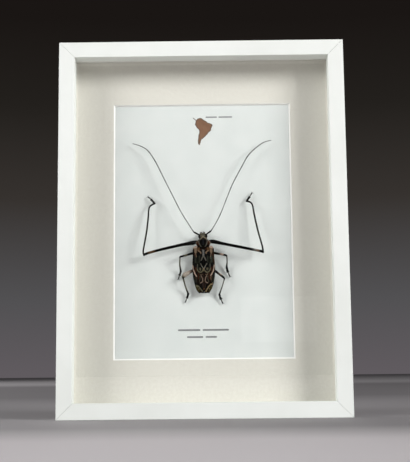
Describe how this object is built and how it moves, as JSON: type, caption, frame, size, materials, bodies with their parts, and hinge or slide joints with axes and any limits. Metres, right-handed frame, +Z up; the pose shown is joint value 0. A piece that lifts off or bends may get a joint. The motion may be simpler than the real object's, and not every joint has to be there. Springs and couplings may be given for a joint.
{
  "type": "framed beetle specimen",
  "caption": "Long-armed harlequin beetle, legs and antennae spread, on a printed card behind a mat in a deep white glazed box frame.",
  "frame": {"origin": "under the middle of the frame, on the surface that its bottom edge stands on", "axes": "+Z up the frame towards the beetle's head, +X to the right seen from the front, the pane faces -Y"},
  "size_m": [0.32, 0.045, 0.42],
  "materials": {
    "white_lacquer": "satin white lacquer on a wood moulding",
    "glass": "clear polished float glass",
    "spacer_board": "off-white paper-faced board",
    "mat_board": "cream mat board with a white core",
    "card": "smooth white card, printed",
    "fibreboard": "brown fibreboard",
    "zinc_steel": "zinc-plated sheet steel",
    "beetle": "dark chitin under short, velvety patterned hair",
    "glue": "clear set glue"
  },
  "bodies": {
    "root": {"rail_bottom": "white_lacquer", "rail_top": "white_lacquer", "stile_left": "white_lacquer", "stile_right": "white_lacquer", "glass": "glass", "spacer_bottom": "spacer_board", "spacer_top": "spacer_board", "spacer_left": "spacer_board", "spacer_right": "spacer_board", "mat": "mat_board", "card": "card", "backing_board": "fibreboard", "retaining_tab_01": "zinc_steel", "retaining_tab_02": "zinc_steel", "retaining_tab_03": "zinc_steel", "retaining_tab_04": "zinc_steel", "retaining_tab_05": "zinc_steel", "retaining_tab_06": "zinc_steel", "retaining_tab_07": "zinc_steel", "retaining_tab_08": "zinc_steel", "retaining_tab_09": "zinc_steel", "retaining_tab_10": "zinc_steel", "sawtooth_hanger": "zinc_steel", "beetle": "beetle", "glue_dab": "glue"}
  },
  "joints": []
}
